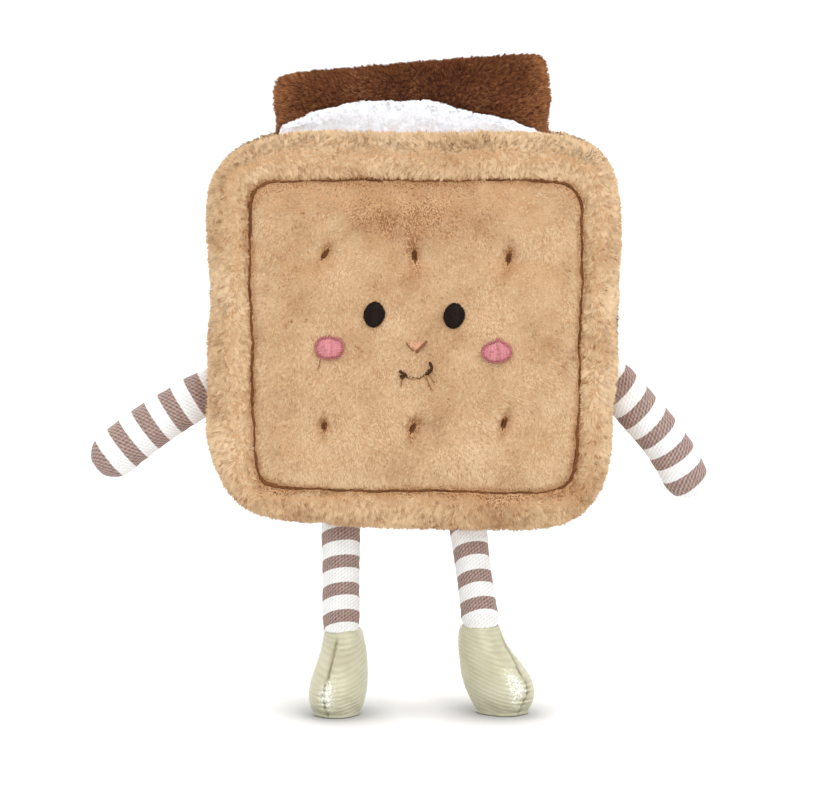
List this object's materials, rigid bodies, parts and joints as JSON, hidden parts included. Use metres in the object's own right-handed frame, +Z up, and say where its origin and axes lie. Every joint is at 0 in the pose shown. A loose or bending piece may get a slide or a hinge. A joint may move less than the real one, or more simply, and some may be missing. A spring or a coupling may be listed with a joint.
{
  "type": "plush s'more toy",
  "caption": "Soft toy in the shape of a s'more: two furry crackers with a marshmallow and chocolate between them, an embroidered face, striped limbs and padded shoes.",
  "frame": {"origin": "on the floor under the middle of the toy's bounding box", "axes": "+Z up, the face looks along -Y, +X to the right as seen from the front"},
  "size_m": [0.3084, 0.0804, 0.3325],
  "materials": {
    "tan_fur": "short tan plush fur, matte, lighter at the tips and browner at the roots",
    "white_fleece": "white curly fleece, matte",
    "brown_fur": "dark brown shaggy plush fur, matte",
    "striped_cotton": "woven cotton with stripes of off-white and mauve taupe, matte",
    "gold_lame": "pale gold ribbed lame cloth with a soft metallic shine",
    "black_thread": "near-black embroidery thread, satin",
    "pink_thread": "pink embroidery thread, satin",
    "tan_thread": "pinkish tan embroidery thread, satin",
    "brown_thread": "dark brown embroidery thread, satin"
  },
  "bodies": {
    "root": {"cracker_front": "tan_fur", "cracker_back": "tan_fur", "marshmallow": "white_fleece", "chocolate": "brown_fur", "arm_left": "striped_cotton", "arm_right": "striped_cotton", "leg_left": "striped_cotton", "leg_right": "striped_cotton", "shoe_left": "gold_lame", "shoe_right": "gold_lame", "eye_left": "black_thread", "eye_right": "black_thread", "cheek_left": "pink_thread", "cheek_right": "pink_thread", "nose": "tan_thread", "smile": "brown_thread"}
  },
  "joints": []
}
